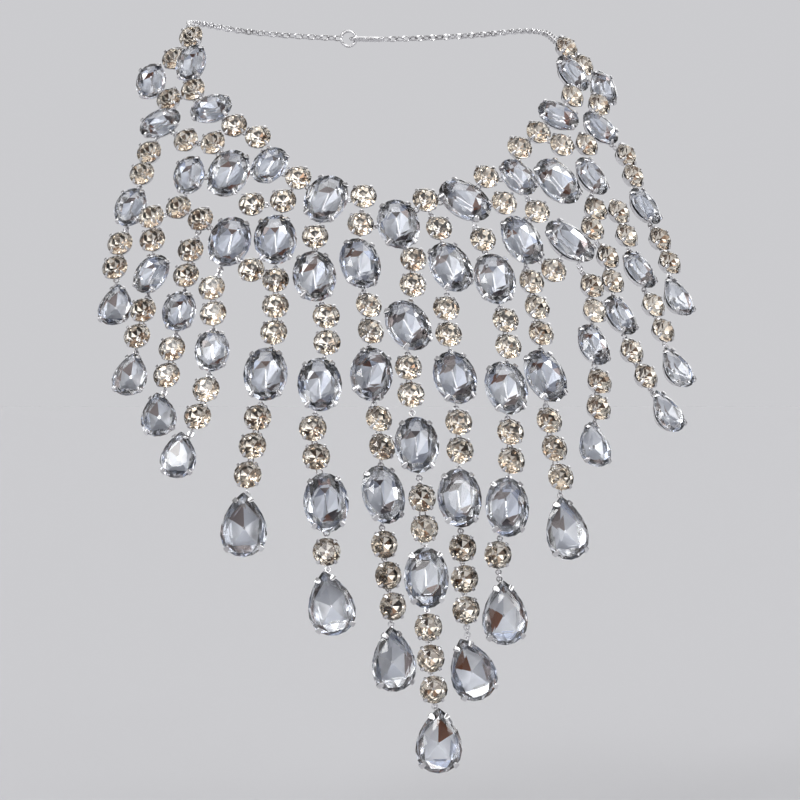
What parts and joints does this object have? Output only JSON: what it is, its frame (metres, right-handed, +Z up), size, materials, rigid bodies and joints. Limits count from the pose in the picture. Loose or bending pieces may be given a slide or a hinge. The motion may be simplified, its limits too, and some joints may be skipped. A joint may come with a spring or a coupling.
{
  "type": "bib necklace",
  "caption": "Bib necklace worn round the neck: a collar of cut clear stones in claw settings with graded strands of stones ending in pear drops, on a cable chain.",
  "frame": {"origin": "on the neck's axis at the height of the collar's front centre stone, where the worn necklace sits", "axes": "+Z up along the neck, -Y to the wearer's front, +X to the viewer's right when facing the wearer"},
  "size_m": [0.189, 0.1862, 0.2423],
  "materials": {
    "ice_crystal": "cut and polished, foil-backed",
    "warm_crystal": "cut and polished, foil-backed",
    "silver_metal": "polished silver-coloured plating"
  },
  "bodies": {
    "root": {"collar_centre": "ice_crystal", "collar_left": "ice_crystal", "collar_right": "ice_crystal", "strand_01": "ice_crystal", "strand_02": "ice_crystal", "strand_03": "ice_crystal", "strand_04": "ice_crystal", "strand_05": "ice_crystal", "strand_06": "ice_crystal", "strand_07": "ice_crystal", "strand_08": "ice_crystal", "strand_09": "ice_crystal", "strand_10": "ice_crystal", "strand_11": "ice_crystal", "strand_12": "ice_crystal", "strand_13": "ice_crystal", "strand_14": "ice_crystal", "strand_15": "ice_crystal", "drop_01": "ice_crystal", "drop_02": "ice_crystal", "drop_03": "ice_crystal", "drop_04": "ice_crystal", "drop_05": "ice_crystal", "drop_06": "ice_crystal", "drop_07": "ice_crystal", "drop_08": "ice_crystal", "drop_09": "ice_crystal", "drop_10": "ice_crystal", "drop_11": "ice_crystal", "drop_12": "ice_crystal", "drop_13": "ice_crystal", "drop_14": "ice_crystal", "drop_15": "ice_crystal", "bridge_left": "warm_crystal", "bridge_right": "warm_crystal", "chain_left": "silver_metal", "chain_right": "silver_metal", "clasp_ring": "silver_metal", "clasp_hook": "silver_metal"}
  },
  "joints": []
}
